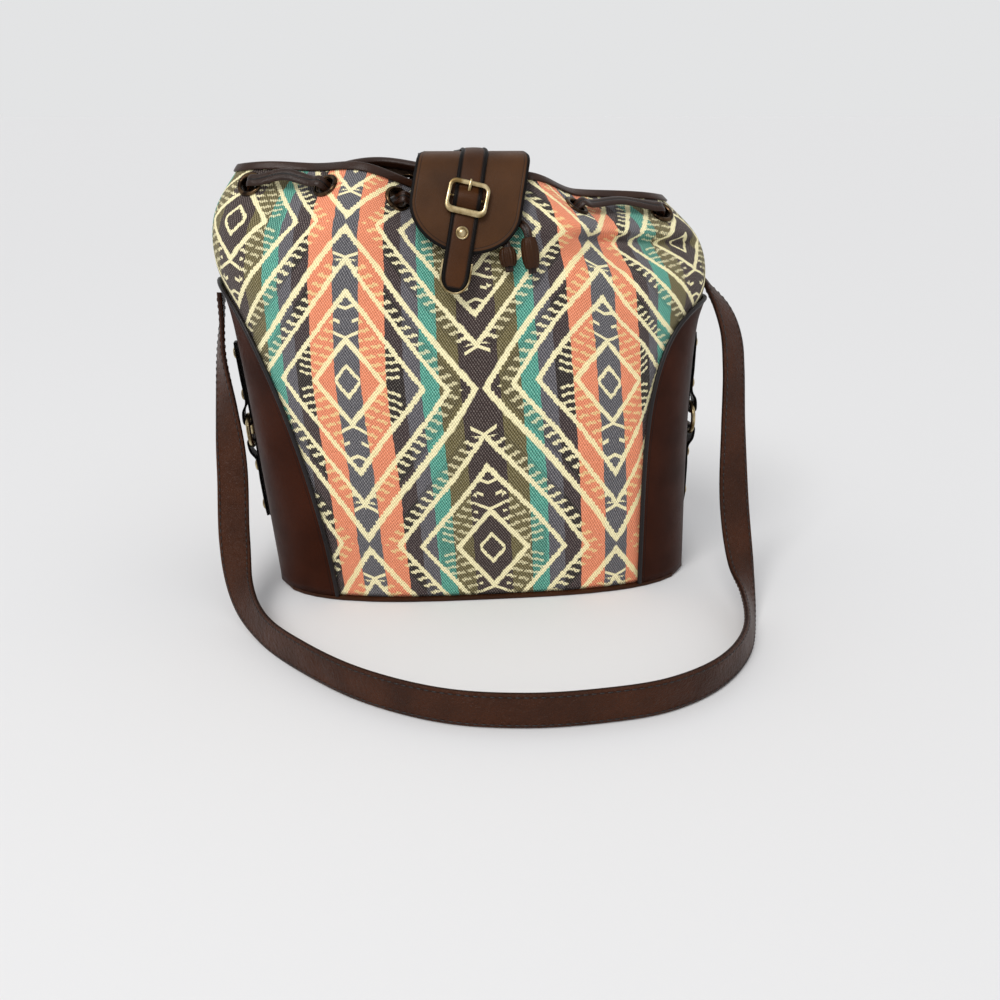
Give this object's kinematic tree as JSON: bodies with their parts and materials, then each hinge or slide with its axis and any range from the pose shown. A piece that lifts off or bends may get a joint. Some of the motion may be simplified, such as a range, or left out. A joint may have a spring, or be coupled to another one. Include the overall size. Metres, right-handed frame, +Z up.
{
  "type": "drawstring bucket bag",
  "caption": "Drawstring bucket shoulder bag in printed canvas with leather side panels, a buckled flap over the gathered mouth and one long shoulder strap.",
  "frame": {"origin": "centre of the base's underside, on the surface the bag stands on", "axes": "+Z up; -Y is the front, with the flap; +X is on the right as seen from the front"},
  "size_m": [0.3316, 0.2958, 0.2684],
  "materials": {
    "printed_canvas": "matte printed canvas with a visible weave",
    "lining_fabric": "dark plain lining",
    "side_leather": "dark brown leather, soft shine",
    "flap_leather": "dark brown leather with darker edges",
    "strap_leather": "wrinkled dark brown leather",
    "base_board": "plain stiffening board",
    "antique_brass": "antique brass, dark in the hollows",
    "bead": "dark brown, ribbed"
  },
  "bodies": {
    "bag": {"back_panel": "printed_canvas", "base_board": "base_board", "base_panel": "side_leather", "bead_left": "bead", "bead_right": "bead", "drawstring": "flap_leather", "eyelet_01": "antique_brass", "eyelet_02": "antique_brass", "eyelet_03": "antique_brass", "eyelet_04": "antique_brass", "eyelet_05": "antique_brass", "eyelet_06": "antique_brass", "eyelet_07": "antique_brass", "eyelet_08": "antique_brass", "eyelet_09": "antique_brass", "eyelet_10": "antique_brass", "eyelet_11": "antique_brass", "eyelet_12": "antique_brass", "front_panel": "printed_canvas", "lining": "lining_fabric", "rim_binding": "flap_leather", "rivet_left_lower_1": "antique_brass", "rivet_left_lower_2": "antique_brass", "rivet_left_upper_1": "antique_brass", "rivet_left_upper_2": "antique_brass", "rivet_right_lower_1": "antique_brass", "rivet_right_lower_2": "antique_brass", "rivet_right_upper_1": "antique_brass", "rivet_right_upper_2": "antique_brass", "shoulder_strap": "strap_leather", "side_panel_left": "side_leather", "side_panel_right": "side_leather", "snap_lower": "antique_brass", "tab_left_lower": "flap_leather", "tab_left_upper": "flap_leather", "tab_right_lower": "flap_leather", "tab_right_upper": "flap_leather"},
    "flap_body": {"flap": "flap_leather", "flap_belt": "flap_leather", "buckle_frame": "antique_brass", "buckle_prong": "antique_brass", "flap_stud": "antique_brass", "snap_upper": "antique_brass", "belt_tip_trim": "antique_brass"},
    "ring_left_body": {"ring_left": "antique_brass"},
    "ring_right_body": {"ring_right": "antique_brass"}
  },
  "joints": [
    {"name": "flap_hinge", "type": "hinge", "parent": "bag", "child": "flap_body", "pos_m": [-0.006, 0.041, 0.264], "axis": [-1, 0, 0], "range_deg": [0, 150]},
    {"name": "ring_left_spin", "type": "hinge", "parent": "bag", "child": "ring_left_body", "pos_m": [-0.14926, 0, 0.09625], "axis": [-0.9936, 0, -0.1128], "continuous": true},
    {"name": "ring_right_spin", "type": "hinge", "parent": "bag", "child": "ring_right_body", "pos_m": [0.13919, 0, 0.09691], "axis": [0.9998, 0, -0.0176], "continuous": true}
  ]
}
